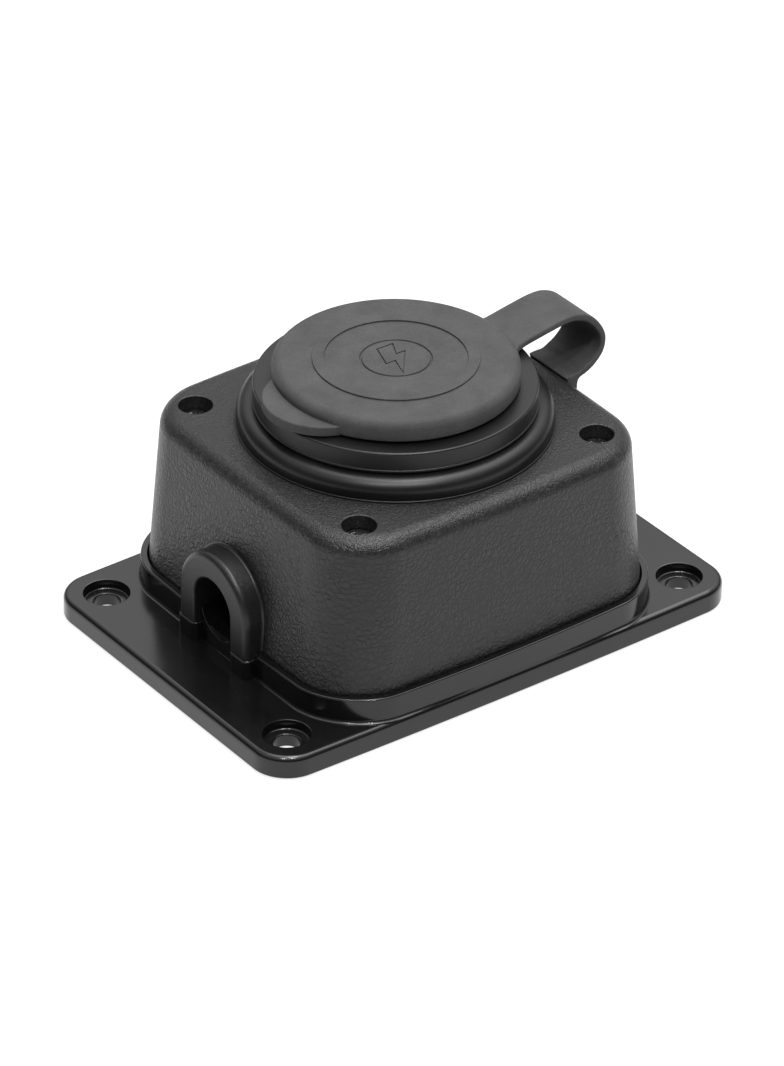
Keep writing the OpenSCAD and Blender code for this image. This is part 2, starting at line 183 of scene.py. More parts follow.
def loft(name, rings, closed=False):
    """Skin over rings of equal point count. A closed loft joins its last ring to its first."""
    n = len(rings[0])
    verts = [p for ring in rings for p in ring]
    faces = []
    spans = len(rings) if closed else len(rings) - 1
    for i in range(spans):
        a, b = i * n, (i + 1) % len(rings) * n
        faces += [(a + j, a + (j + 1) % n, b + (j + 1) % n, b + j) for j in range(n)]
    if not closed:
        faces.append(tuple(range(n))[::-1])
        faces.append(tuple(range(len(verts) - n, len(verts))))
    return solid(name, verts, faces)


def rounded(corners, steps=5):
    """Closed outline whose corners (x, y, radius) are rounded."""
    out = []
    for i, (x, y, r) in enumerate(corners):
        p = Vector((x, y))
        if r <= 0:
            out.append((x, y))
            continue
        a = (Vector(corners[i - 1][:2]) - p).normalized()
        b = (Vector(corners[(i + 1) % len(corners)][:2]) - p).normalized()
        half = a.angle(b) / 2
        centre = p + (a + b).normalized() * (r / math.sin(half))
        start, end = p + a * (r / math.tan(half)), p + b * (r / math.tan(half))
        a0 = math.atan2(*(start - centre).yx)
        turn = (math.atan2(*(end - centre).yx) - a0 + math.pi) % (2 * math.pi) - math.pi
        for k in range(steps + 1):
            t = a0 + turn * k / steps
            out.append((centre.x + r * math.cos(t), centre.y + r * math.sin(t)))
    return out


def lathe(name, outline, steps=192, at=(0, 0)):
    """Solid of revolution of a closed outline of (radius, height) about a vertical axis."""
    rings = []
    for i in range(steps):
        c, s = math.cos(2 * math.pi * i / steps), math.sin(2 * math.pi * i / steps)
        rings.append([(at[0] + r * c, at[1] + r * s, z) for r, z in outline])
    return loft(name, rings, closed=True)


def prism(name, outline, lo, hi, axis="z"):
    """Straight solid over a plane outline, between two places on the z or x axis."""
    ends = [[(h, *p) if axis == "x" else (*p, h) for p in outline] for h in (lo, hi)]
    return loft(name, ends)


def slab(name, centre, half, r, lo, hi, steps):
    """Upright block with rounded corners, of half lengths half about centre."""
    (cx, cy), (hx, hy) = centre, half
    outline = [(cx + a * hx, cy + b * hy, r) for a, b in ((1, 1), (-1, 1), (-1, -1), (1, -1))]
    return prism(name, rounded(outline, steps), lo, hi)


def soften(ob, width, segments=3, angle=35, keep=lambda a, b: True):
    """Rounds the edges that are sharper than angle and pass keep."""
    bm = bmesh.new()
    bm.from_mesh(ob.data)
    edges = [
        e
        for e in bm.edges
        if len(e.link_faces) == 2
        and e.calc_face_angle() > math.radians(angle)
        and keep(e.verts[0].co / MM, e.verts[1].co / MM)
    ]
    bmesh.ops.bevel(
        bm, geom=edges, offset=width * MM, segments=segments, profile=0.5, affect="EDGES", clamp_overlap=True
    )
    bm.to_mesh(ob.data)
    bm.free()
    return ob


def combine(target, tools, operation="DIFFERENCE"):
    """Applies Boolean tools to the target and removes them."""
    for tool in tools:
        mod = target.modifiers.new("boolean", "BOOLEAN")
        mod.object, mod.operation, mod.solver = tool, operation, "EXACT"
    graph = bpy.context.evaluated_depsgraph_get()
    mesh = bpy.data.meshes.new_from_object(target.evaluated_get(graph), depsgraph=graph)
    target.modifiers.clear()
    target.data = mesh
    for tool in tools:
        bpy.data.objects.remove(tool)
    return target


def join(target, others):
    """Adds the meshes of other objects to the target."""
    bm = bmesh.new()
    bm.from_mesh(target.data)
    for other in others:
        bm.from_mesh(other.data)
    bm.to_mesh(target.data)
    bm.free()
    for other in others:
        bpy.data.objects.remove(other)
    return target


def shade(ob, angle=34):
    """Smooth shading that stays flat on flats and breaks at sharp edges."""
    bm = bmesh.new()
    bm.from_mesh(ob.data)
    for f in bm.faces:
        f.smooth = True
    for e in bm.edges:
        e.smooth = len(e.link_faces) == 2 and e.calc_face_angle() < math.radians(angle)
    bm.to_mesh(ob.data)
    bm.free()
    mod = ob.modifiers.new("normals", "WEIGHTED_NORMAL")
    mod.keep_sharp = True
    return ob


def arc(start, end, steps):
    """Angles in radians from start to end, both in degrees."""
    return [math.radians(start + (end - start) * k / steps) for k in range(steps + 1)]


# ---- outlines of the moulding --------------------------------------------------------------


def bowed(hx, hy, r, bx, by, m=20, n=20):
    """Rounded rectangle whose sides bulge by bx and by at their middle."""
    # Each quarter is a corner of n steps, then a side of m steps
    points = []
    for k in range(4):
        sx, sy = (1 if k in (0, 3) else -1), (1 if k < 2 else -1)
        lx, ly = hx - r, hy - r
        for i in range(n + m):
            a, t = math.radians(90 * k + 90 * i / n), (i - n) / m
            if i <= n:
                x, y = sx * lx + r * math.cos(a), sy * ly + r * math.sin(a)
            elif k % 2 == 0:
                x, y = sx * lx * (1 - 2 * t), sy * hy
            else:
                x, y = sx * hx, sy * ly * (1 - 2 * t)
            points.append(
                (
                    x + math.copysign(bx, x) * (1 - (y / hy) ** 2) * abs(x / hx) ** 8,
                    y + math.copysign(by, y) * (1 - (x / hx) ** 2) * abs(y / hy) ** 8,
                )
            )
    return points


def inset(shape, g, corner=1.0):
    """Outline of a shape that is g smaller all round. Its corner radius shrinks by g times corner."""
    hx, hy, r, bx, by = shape
    return bowed(hx - g, hy - g, r - g * corner, bx, by)


def plate_outline(g):
    """Outline of the plate, g smaller all round."""
    return bowed(PLATE_HX - g, PLATE_HY - g, PLATE_R - g, 0, PLATE_BOW)


def ring_at(outline, z):
    """Outline laid flat at height z."""
    return [(x, y, z) for x, y in outline]


def corners(x, y):
    """The four places at plus or minus x and y."""
    return [(sx * x, sy * y) for sx in (-1, 1) for sy in (-1, 1)]


def arch(radius, foot, x, steps=40):
    """Upside-down U across the cable axis, closed along its foot."""
    top = [(radius * math.cos(a), ENTRY_Z + radius * math.sin(a)) for a in arc(0, 180, steps)]
    return [(x, y, z) for y, z in [(radius, foot), *top, (-radius, foot)]]


def wall_x(z):
    """Distance from the middle to the crown of an end wall at height z."""
    return HEAD[0] + HEAD[3] + (ROOF_Z - ROOF_EDGE - z) * WALL_LEAN


# ---- base plate ----------------------------------------------------------------------------


def turned_part(name, bore, radius, top, edges, steps, at):
    """Upright tube that grows out of the plate, with its outer and inner top edges rounded."""
    foot = PLATE_T - ROOT
    outline = [(bore, foot, 0), (radius, foot, 0), (radius, top, edges[0]), (bore, top, edges[1])]
    return lathe(name, rounded(outline, 3), steps, at)


def standing(outer, inner, top):
    """Upright wall between two outlines, from inside the plate up to top."""
    foot = PLATE_T - ROOT
    rings = [ring_at(outer, foot), ring_at(outer, top), ring_at(inner, top), ring_at(inner, foot)]
    return loft("wall", rings, closed=True)


def build_rim():
    """Rim round the housing, with a small fillet at its foot."""

    def limit(p):
        edge = PLATE_HY + PLATE_BOW * (1 - (p[0] / PLATE_HX) ** 2) - 0.02
        return p[0], math.copysign(min(abs(p[1]), edge), p[1])

    rings = []
    for a in arc(0, 90, 5):
        outline = inset(RIM, -RIM_FILLET * (1 - math.sin(a)))
        rings.append([(*limit(p), PLATE_T - 0.02 + RIM_FILLET * (1 - math.cos(a))) for p in outline])
    for a in arc(0, 90, 5):
        rings.append(ring_at(inset(RIM, RIM_EDGE * (1 - math.cos(a))), RIM_Z - RIM_EDGE * (1 - math.sin(a))))
    for a in arc(90, 0, 4):
        outline = inset(RIM, LIP_TOP - LIP_EDGE * (1 - math.cos(a)))
        rings.append(ring_at(outline, RIM_Z - LIP_EDGE * (1 - math.sin(a))))
    rings.append(ring_at(inset(RIM, LIP), PLATE_T - ROOT))
    rim = loft("rim", rings, closed=True)
    (lo, hi), half = NOTCH_X, NOTCH_HY
    return combine(rim, [prism("notch", [(lo, -half), (hi, -half), (hi, half), (lo, half)], STEP_Z, 20)])


def build_saddle():
    """Block under the cable entry, with a trough for the cable."""
    top, half, foot = ENTRY_Z - SADDLE_DROP, ENTRY_R - SADDLE_GAP, PLATE_T - ROOT
    start = math.degrees(math.asin((top - ENTRY_Z + TROUGH_DROP) / ENTRY_R))
    middle = ENTRY_Z - TROUGH_DROP
    trough = [(ENTRY_R * math.cos(a), middle + ENTRY_R * math.sin(a)) for a in arc(start, -180 - start, 28)]
    trough = [p for p in trough if abs(p[0]) < half - 0.02]
    outline = [(half, top), *trough, (-half, top), (-half, foot), (half, foot)]
    return soften(prism("saddle", outline, *SADDLE_X, "x"), 0.3, 3)


def build_plate():
    """Flange with its mounting holes, and everything that stands on it."""
    rings = [ring_at(plate_outline(g), z) for g, z in ((0.4, 0.0), (0.1, 0.1), (0, 0.4))]
    for a in arc(0, 90, 8):
        outline = plate_outline(PLATE_EDGE * (1 - math.cos(a)))
        rings.append(ring_at(outline, PLATE_T - PLATE_EDGE * (1 - math.sin(a))))
    plate = loft("base_plate_moulding", rings)

    hole = [(0, -1, 0), (HOLE_R, -1, 0), (HOLE_R, PLATE_T - CBORE_DEPTH, 0.25)]
    hole += [(CBORE_R, PLATE_T - CBORE_DEPTH, 0.35), (CBORE_R, PLATE_T - 0.4, 0)]
    hole += [(CBORE_R + 0.12, PLATE_T - 0.12, 0), (CBORE_R + 0.4, PLATE_T, 0)]
    hole += [(CBORE_R + 0.4, PLATE_T + 1, 0), (0, PLATE_T + 1, 0)]
    cutters = [lathe("cutter", rounded(hole), 72, at) for at in corners(HOLE_X, HOLE_Y)]
    # Cored pockets in the back
    cutters += [slab("cutter", at, POCKET_HALF, POCKET_R, -1, POCKET_DEPTH, 8) for at in corners(*POCKET_AT)]
    combine(plate, cutters)

    parts = [build_rim(), standing(inset(RIM, LIP / 2), inset(RIM, FLOOR_W), FLOOR_Z)]
    seat = standing(inset(FOOT, WALL + SEAT_GAP), inset(FOOT, WALL + SEAT_GAP + SEAT_W), SEAT_Z)
    parts.append(soften(seat, 0.25))
    for at in corners(SCREW_X, SCREW_Y):
        parts.append(turned_part("pillar", PILLAR_BORE, PILLAR_R, PILLAR_Z, (0.4, 0.3), 64, at))
    for side in (-1, 1):
        parts.append(turned_part("post", POST_BORE, POST_R, POST_Z, (0.3, 0), 48, (POST_X, side * POST_Y)))
        # Step under a leg of the cable boss, a little proud of it all round
        at = (STEP_X, side * (BOSS_R + 2 * STEP_HALF[1]) / 2)
        parts.append(soften(slab("step", at, STEP_HALF, STEP_R, PLATE_T - ROOT, STEP_Z, 6), 0.3))
    parts.append(build_saddle())
    return shade(join(plate, parts))


# ---- housing -------------------------------------------------------------------------------


def build_boss():
    """Smooth arch round the cable entry, with a fillet where it meets the leaning, bowed wall."""
    foot = STEP_Z + 0.1
    rings = [
        arch(BOSS_R - BOSS_EDGE * (1 - math.sin(a)), foot, -BOSS_X + BOSS_EDGE * (1 - math.cos(a)))
        for a in arc(0, 90, 8)
    ]
    for a in arc(0, 90, 5):
        out = BOSS_FILLET * (1 - math.sin(a))
        ring = arch(BOSS_R + BOSS_FILLET * (1 - math.cos(a)), foot, 0)
        rings.append([(HEAD[3] * (y / HEAD[1]) ** 2 - wall_x(z) - out, y, z) for _, y, z in ring])
    rings.append(arch(BOSS_R + BOSS_FILLET, foot, -BOSS_X + BOSS_DEPTH))
    return loft("boss", rings)


def build_entry():
    """Cutter for the cable entry, with a rounded mouth. It is open downwards."""
    rings = [arch(ENTRY_R + ENTRY_FLARE, -2, -BOSS_X - 2)]
    for a in arc(0, 90, 4):
        out = ENTRY_FLARE * (1 - math.sin(a))
        rings.append(arch(ENTRY_R + out, -2, -BOSS_X + ENTRY_FLARE * (1 - math.cos(a))))
    rings.append(arch(ENTRY_R, -2, ENTRY_END))
    return loft("cutter", rings)


def build_housing():
    """Hollow drafted box with a rounded roof edge, screw columns, cable boss and the inlet's hole."""
    spring = ROOF_Z - ROOF_EDGE
    foot, head = inset(FOOT, 0), inset(HEAD, 0)
    rings = [ring_at(inset(FOOT, FOOT_EDGE), FOOT_Z), ring_at(foot, FOOT_Z + FOOT_EDGE)]
    for t in (0.25, 0.5, 0.75):
        z = FOOT_Z + (spring - FOOT_Z) * t
        rings.append([(a[0] + (b[0] - a[0]) * t, a[1] + (b[1] - a[1]) * t, z) for a, b in zip(foot, head)])
    for a in arc(0, 90, 12):
        outline = inset(HEAD, ROOF_EDGE * (1 - math.cos(a)), 0.6)
        rings.append(ring_at(outline, spring + ROOF_EDGE * math.sin(a)))
    shell = loft("housing_moulding", rings)

    ceiling = ROOF_Z - ROOF_T
    hollow = [ring_at(inset(FOOT, WALL), z) for z in (FOOT_Z - 2, FOOT_Z)]
    for g, z in ((0, spring), (0.35, ceiling - 0.25), (0.9, ceiling)):
        hollow.append(ring_at(inset(HEAD, WALL + g), z))
    combine(shell, [loft("hollow", hollow)])

    places = corners(SCREW_X, SCREW_Y)
    column = [(0, COLUMN_Z), (COLUMN_R, COLUMN_Z), (COLUMN_R, ceiling + 0.4), (0, ceiling + 0.4)]
    columns = [lathe("column", column, 64, at) for at in places]
    combine(shell, columns + [build_boss()], "UNION")

    bore = [(0, 5, 0), (SHANK_R, 5, 0), (SHANK_R, BORE_Z, 0), (BORE_R, BORE_Z, 0.2)]
    bore += [(BORE_R, ROOF_Z - 0.35, 0), (BORE_R + 0.07, ROOF_Z - 0.15, 0), (BORE_R + 0.35, ROOF_Z, 0)]
    bore += [(BORE_R + 0.35, 50, 0), (0, 50, 0)]
    cutters = [lathe("cutter", [(0, 30), (ROOF_HOLE_R, 30), (ROOF_HOLE_R, 60), (0, 60)], 128)]
    cutters += [lathe("cutter", rounded(bore, 3), 64, at) for at in places]
    combine(shell, cutters + [build_entry()])
    return shade(shell)


# ---- turned parts of the inlet -------------------------------------------------------------


def build_collar():
    """Ring on the roof with a rounded shoulder, and a groove below for the gasket."""
    outer, top = collar_hi[0], collar_hi[2]
    step = ROOF_Z + 0.35
    outline = [(COLLAR_R, ROOF_Z, 0), (GROOVE_R[0], ROOF_Z, 0), (GROOVE_R[0], ROOF_Z + GROOVE_DEPTH, 0)]
    outline += [(GROOVE_R[1], ROOF_Z + GROOVE_DEPTH, 0), (GROOVE_R[1], ROOF_Z, 0), (outer, ROOF_Z, 0.06)]
    outline += [(outer, step, 0.12), (COLLAR_SHOULDER, step, 0.08), (COLLAR_SHOULDER, top, COLLAR_EDGE)]
    outline += [(COLLAR_R, top, 0)]
    return shade(lathe("collar_turned", rounded(outline, 9)), 40)


def build_inlet():
    """Well with an inward ledge for the contact carrier, and a thick ring over the collar."""
    outer, mouth = inlet_hi[0], inlet_hi[2]
    low, floor = SHELL_Z
    outline = [(INNER_R, floor, 0.2), (WELL_R, floor, 0), (WELL_R, low, 0.3), (SHELL_R, low, 0.4)]
    # A narrow bead stands out at the foot of the ring
    outline += [(SHELL_R, FLANGE_Z, 0.2), (FLANGE_R, FLANGE_Z, 0.06), (outer, FLANGE_Z + 0.12, 0.1)]
    outline += [(outer, FLANGE_Z + 0.5, 0.12), (outer - 0.14, FLANGE_Z + 0.56, 0.04)]
    outline += [(outer - 0.14, mouth, 0.42), (WELL_R + 0.9, mouth, 0.15), (WELL_R, mouth - 1.2, 0.2)]
    outline += [(WELL_R, WELL_FLOOR, 0.5), (INNER_R, WELL_FLOOR, 0.4)]
    return shade(lathe("inlet_turned", rounded(outline, 5)), 40)


# ---- cap and strap -------------------------------------------------------------------------


def grow(points, gap):
    """Polygon whose sides are moved outwards by gap. The points run clockwise."""
    out = []
    for i, p in enumerate(points):
        before = (p - points[i - 1]).normalized()
        after = (points[(i + 1) % len(points)] - p).normalized()
        normal = Vector((-before.y - after.y, before.x + after.x)).normalized()
        out.append(p + normal * gap / max(0.4, normal.dot(Vector((-before.y, before.x)))))
    return out


def build_cap():
    """Round rubber cap with its bung, finger tab and sign."""
    # The bung: hollow below, with a groove for its seal
    half = math.degrees(math.acos((BUNG_R - SEAL_R) / SEAL_T))
    foot, seal = CAP_Z - BUNG_DEPTH, CAP_Z - SEAL_DROP
    turn = arc(-half, -360 + half, 14)
    groove = [(SEAL_R + SEAL_T * math.cos(a), seal + SEAL_T * math.sin(a)) for a in turn]
    lower = [(0, CAP_Z, 0), (BUNG_INNER, CAP_Z, 0.5), (BUNG_INNER, foot, 0.3), (BUNG_R, foot, 0.7)]
    # The disc: a raised ring, and a fine circle cut inside it
    high, low = CAP_TOP + MARK, CAP_TOP - MARK
    upper = [(BUNG_R, CAP_Z - 1, 0), (BUNG_R, CAP_Z, 0.3), (CAP_R, CAP_Z, 0.35), (CAP_R, CAP_TOP, 1.8)]
    upper += [(RING_R[1], CAP_TOP, 0), (RING_R[1], high, 0.06), (RING_R[0], high, 0.06)]
    upper += [(RING_R[0], CAP_TOP, 0), (CIRCLE_R[1] + 0.1, CAP_TOP, 0.04), (CIRCLE_R[1], low, 0)]
    upper += [(CIRCLE_R[0], low, 0), (CIRCLE_R[0] - 0.1, CAP_TOP, 0.04), (0, CAP_TOP, 0)]
    disc = lathe("cap_moulding", rounded(lower, 5) + groove + rounded(upper, 7))

    # Tab for the finger: a circle segment that reaches past the disc
    outline = [(TAB_X + TAB_R * math.cos(a), TAB_R * math.sin(a)) for a in arc(105, 255, 72)]
    tab = prism("tab", outline, CAP_Z, CAP_Z + TAB_T)
    soften(tab, 0.4, 4, 60, keep=lambda a, b: max(a.x, b.x) < TAB_TIP and min(a.z, b.z) > CAP_Z + 1)

    # Bolt sign, set off from the disc by a narrow groove
    bolt = [(-0.9, 4.6), (2.4, 4.6), (0.7, 1.1), (2.7, 1.1), (-2.0, -5.0), (-0.5, -0.5), (-2.6, -0.5)]
    bolt = [Vector(p) for p in bolt]
    combine(disc, [prism("moat", grow(bolt, 0.3), CAP_TOP - MARK, CAP_TOP + 1)])
    sign = prism("sign", bolt, CAP_TOP - 0.5, CAP_TOP)
    return shade(join(disc, [tab, sign]), 40)


def smooth_line(points, steps):
    """Catmull-Rom curve through the points."""
    pts = [points[0] * 2 - points[1], *points, points[-1] * 2 - points[-2]]
    out = []
    for i in range(1, len(pts) - 2):
        p0, p1, p2, p3 = pts[i - 1 : i + 3]
        square, cube = 2 * p0 - 5 * p1 + 4 * p2 - p3, 3 * p1 - p0 - 3 * p2 + p3
        for k in range(steps):
            t = k / steps
            out.append(0.5 * (2 * p1 + (p2 - p0) * t + square * t * t + cube * t**3))
    return out + [points[-1]]


def build_strap():
    """Flat band along two lines in the x-z plane: its outer side and its inner side."""
    line = [(23.2, 52.0), (24.9, 52.1), (28, 52.7), (32, 53.4), (36, 54.0), (39, 53.9), (42, 52.6)]
    line += [(44.3, 50.2), (45.6, 47.4), (45.2, 44.6), (43.4, 42.5), (41.6, 41.4)]
    line = [Vector(p) for p in line]
    outside, inside = [], []
    for i, p in enumerate(line):
        t = (line[min(i + 1, len(line) - 1)] - line[max(i - 1, 0)]).normalized()
        across = Vector((-t.y, t.x)) * STRAP_T / 2
        outside.append(p + across)
        inside.append(p - across)
    # Foot: it lies on the rounded roof edge and against the wall
    bend = ((3.45, 40.35), (2.75, 39.95), (2.45, 39.3), (2.35, 38.5))
    outside += [Vector((wall_x(38) + d, z)) for d, z in bend]
    inside += [Vector(p) for p in ((39.9, 41.35), (38.0, 41.3), (36.75, 41.1), (36.9, 40.35))]
    for z in (37.0, 34.5, 32.0, 30.0, 28.6, STRAP_FOOT):
        outside.append(Vector((wall_x(z) + STRAP_OFF_WALL[1], z)))
        inside.append(Vector((wall_x(z) + STRAP_OFF_WALL[0], z)))
    outside[-1].x -= 0.5
    outside, inside = smooth_line(outside, 8), smooth_line(inside, 8)
    rings = []
    for i, (a, b) in enumerate(zip(outside, inside)):
        # Wider where it grows out of the cap, and rounded at the end of its foot
        half_w = STRAP_W / 2 + STRAP_FLARE * (1 - min(1.0, i / 14)) ** 2
        height = max(0.0, a.y - STRAP_FOOT)
        if height < STRAP_FOOT_R and i > len(outside) / 2:
            half_w -= STRAP_FOOT_R - math.sqrt(STRAP_FOOT_R**2 - (STRAP_FOOT_R - height) ** 2)
        along = (a - b).normalized()
        half_t = (a - b).length / 2
        middle, r = (a + b) / 2, min(0.4, half_t * 0.6)
        section = [(half_t, half_w, r), (-half_t, half_w, r), (-half_t, -half_w, r), (half_t, -half_w, r)]
        rings.append([(middle.x + along.x * u, w, middle.y + along.y * u) for u, w in rounded(section, 4)])
    return shade(loft("strap_moulding", rings), 50)


# ---- materials -----------------------------------------------------------------------------


def add_node(tree, kind, links=None, values=None, **settings):
    """New shader node, with sockets linked to other sockets or set to fixed values."""
    node = tree.nodes.new(kind)
    for key, value in settings.items():
        setattr(node, key, value)
    for key, value in (values or {}).items():
        node.inputs[key].default_value = value
    for key, socket in (links or {}).items():
        tree.links.new(socket, node.inputs[key])
    return node


def map_range(tree, value, lo, hi, out_lo, out_hi, kind):
    """Value carried from lo to hi over to out_lo to out_hi, and held there outside them."""
    limits = {"From Min": lo, "From Max": hi, "To Min": out_lo, "To Max": out_hi}
    node = add_node(tree, "ShaderNodeMapRange", {"Value": value}, limits, interpolation_type=kind)
    return node.outputs["Result"]


class Nodes:
    """Small helper that builds the shader of one material. Sizes are in millimetres."""

    def __init__(self, name, **principled):
        self.material = bpy.data.materials.new(name)
        self.material.use_nodes = True
        self.tree = self.material.node_tree
        self.shader = self.tree.nodes["Principled BSDF"]
        for key, value in principled.items():
            self.shader.inputs[key.replace("_", " ")].default_value = value
        self.place = self.tree.nodes.new("ShaderNodeTexCoord").outputs["Object"]

    def add(self, kind, links=None, values=None, **settings):
        return add_node(self.tree, kind, links, values, **settings)

    def noise(self, size, detail=3.0, rough=0.55, where=None, output="Fac"):
        """Noise whose features are about size across."""
        values = {"Scale": 1 / (size * MM), "Detail": detail, "Roughness": rough}
        return self.add("ShaderNodeTexNoise", {"Vector": where or self.place}, values).outputs[output]

    def cells(self, size, where):
        """Distance to the edge of irregular cells of about size."""
        values = {"Scale": 1 / (size * MM), "Randomness": 1.0}
        node = self.add("ShaderNodeTexVoronoi", {"Vector": where}, values, feature="DISTANCE_TO_EDGE")
        return node.outputs["Distance"]

    def span(self, value, lo, hi, out_lo=0.0, out_hi=1.0, kind="LINEAR"):
        return map_range(self.tree, value, lo, hi, out_lo, out_hi, kind)

    def math(self, operation, *values):
        """Math node whose inputs are numbers or sockets."""
        node = self.add("ShaderNodeMath", operation=operation)
        for socket, value in zip(node.inputs, values):
            if isinstance(value, (int, float)):
                socket.default_value = value
            else:
                self.tree.links.new(value, socket)
        return node.outputs[0]

    def vector(self, operation, links, values=None):
        return self.add("ShaderNodeVectorMath", links, values, operation=operation).outputs[0]

    def warp(self, size, amount):
        """Object coordinates pushed about by noise, to break up regular cells."""
        push = self.noise(size, 2.0, 0.5, output="Color")
        centred = self.vector("SUBTRACT", {0: push}, {1: (0.5, 0.5, 0.5)})
        scaled = self.vector("SCALE", {0: centred}, {"Scale": amount * MM})
        return self.vector("ADD", {0: self.place, 1: scaled})

    def bump(self, height, depth, under=None):
        """Bump whose full height is depth, over another bump where there is one."""
        links = {"Height": height}
        if under is not None:
            links["Normal"] = under
        return self.add("ShaderNodeBump", links, {"Strength": 1.0, "Distance": depth * MM}).outputs["Normal"]

    def colour(self, value, dark, light):
        """Base colour that runs from dark to light as value goes from 0 to 1."""
        ramp = self.add("ShaderNodeValToRGB", {"Fac": value})
        ramp.color_ramp.elements[0].color = (*dark, 1)
        ramp.color_ramp.elements[1].color = (*light, 1)
        self.to("Base Color", ramp.outputs["Color"])

    def to(self, key, socket):
        self.tree.links.new(socket, self.shader.inputs[key])


def grey(v):
    return (v, v, v)


def satin_plastic(name, tone, rough, wave=0.02, ior=1.5):
    """Moulded satin plastic: faint flow variation, a fine etched skin and a slow waviness."""
    m = Nodes(name, Roughness=rough, IOR=ior)
    flow = m.noise(14, 4, 0.6)
    m.colour(m.span(flow, 0.3, 0.7), grey(tone * 0.8), grey(tone * 1.25))
    skin = m.noise(0.22, 2, 0.5)
    flow_rough = m.span(flow, 0.3, 0.7, rough - 0.03, rough + 0.04)
    m.to("Roughness", m.math("ADD", flow_rough, m.span(skin, 0.3, 0.7, -0.02, 0.02)))
    m.to("Normal", m.bump(skin, 0.004, m.bump(m.noise(9, 2, 0.5), wave)))
    return m.material


def grained_plastic():
    """Leather grain on the walls, finer on the roof and almost none on the cable boss."""
    m = Nodes("grained_plastic", Roughness=0.42, IOR=1.43)
    x, y, z = m.add("ShaderNodeSeparateXYZ", {0: m.place}).outputs
    coarse = m.span(m.cells(1.25, m.warp(2.2, 1.1)), 0.0, 0.24, kind="SMOOTHSTEP")
    second = m.span(m.cells(0.7, m.warp(1.0, 0.5)), 0.0, 0.24, kind="SMOOTHSTEP")
    fine = m.span(m.cells(0.42, m.warp(0.7, 0.4)), 0.0, 0.35, kind="SMOOTHSTEP")
    patches = m.span(m.noise(9, 3, 0.6), 0.35, 0.7, 0.55, 1.15)
    leather = m.math("MULTIPLY", m.math("MULTIPLY_ADD", second, 0.35, coarse), patches)

    # The boss's arch is measured from the cable's axis, its legs from the middle plane
    above = m.math("MAXIMUM", m.math("SUBTRACT", z, ENTRY_Z * MM), 0.0)
    reach = m.math("SQRT", m.math("MULTIPLY_ADD", above, above, m.math("MULTIPLY", y, y)))
    boss_end = BOSS_R + BOSS_FILLET
    near = m.span(reach, boss_end * MM, (boss_end + 0.5) * MM, 0.9, 0.0, "SMOOTHSTEP")
    off_boss = m.math("SUBTRACT", 1.0, m.math("MULTIPLY", near, m.math("LESS_THAN", x, BOSS_SIDE * MM)))
    roof = m.span(z, (ROOF_Z - 3.2) * MM, (ROOF_Z - 0.3) * MM, kind="SMOOTHSTEP")
    leather = m.math("MULTIPLY", m.math("MULTIPLY", leather, m.span(roof, 0.0, 1.0, 1.0, 0.55)), off_boss)
    fine = m.math("MULTIPLY", m.math("MULTIPLY", fine, m.math("MULTIPLY_ADD", roof, 0.8, 0.2)), off_boss)

    speck = m.noise(0.16, 2, 0.6)
    m.to("Normal", m.bump(speck, 0.01, m.bump(fine, 0.04, m.bump(leather, 0.064))))
    m.colour(m.span(leather, 0.0, 1.0), grey(0.008), grey(0.016))
    m.to("Roughness", m.span(m.noise(0.5, 3, 0.6), 0.3, 0.7, 0.3, 0.42))
    return m.material


def rubber(name, tone, rough, depth):
    """Soft rubber: powdery fine grain, faint cloudy variation."""
    m = Nodes(name, Roughness=rough, IOR=1.25)
    cloud = m.noise(6, 4, 0.6)
    grain = m.noise(0.32, 3, 0.7)
    mixed = m.math("MULTIPLY_ADD", grain, 0.5, m.math("MULTIPLY", cloud, 0.5))
    m.colour(m.span(mixed, 0.35, 0.65), grey(tone * 0.74), grey(tone * 1.26))
    m.to("Roughness", m.span(cloud, 0.3, 0.7, rough - 0.05, rough + 0.05))
    m.to("Normal", m.bump(grain, depth, m.bump(m.noise(0.9, 2, 0.5), depth)))
    return m.material


def metal(name, colour, rough, stretch=(1, 1, 1)):
    """Turned or plated metal with fine tool marks and slight staining."""
    m = Nodes(name, Metallic=1.0, Roughness=rough)
    mapped = m.add("ShaderNodeMapping", {"Vector": m.place}, {"Scale": stretch}).outputs[0]
    marks = m.noise(0.3, 3, 0.6, where=mapped)
    stain = m.noise(2.5, 3, 0.6)
    m.colour(m.span(stain, 0.35, 0.7), tuple(c * 0.8 for c in colour), colour)
    m.to("Roughness", m.span(marks, 0.3, 0.7, rough - 0.08, rough + 0.12))
    m.to("Normal", m.bump(marks, 0.006))
    return m.material


# ---- pieces --------------------------------------------------------------------------------

materials = {
    "base_plastic": satin_plastic("base_plastic", 0.0045, 0.16),
    "grained_plastic": grained_plastic(),
    "satin_plastic": satin_plastic("satin_plastic", 0.0035, 0.36, 0.006, 1.43),
    "carrier_plastic": satin_plastic("carrier_plastic", 0.05, 0.45),
    "cap_rubber": rubber("cap_rubber", 0.056, 0.6, 0.035),
    "seal_rubber": rubber("seal_rubber", 0.022, 0.55, 0.006),
    "screw_steel": metal("screw_steel", (0.2, 0.2, 0.21), 0.24),
    "clamp_steel": metal("clamp_steel", (0.58, 0.59, 0.6), 0.34, (0.2, 1, 1)),
    "brass_turned": metal("brass_turned", (0.78, 0.56, 0.24), 0.3),
    "contact_brass": metal("contact_brass", (0.83, 0.66, 0.36), 0.24, (1, 1, 0.2)),
}


def piece(ob, slot, body, *replaced):
    """Gives a detailed piece its material and its body, and hides the CAD nodes that it stands for."""
    ob.data.materials.clear()
    ob.data.materials.append(materials[slot])
    if body:
        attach(ob, body)
    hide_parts(*replaced)
    return ob


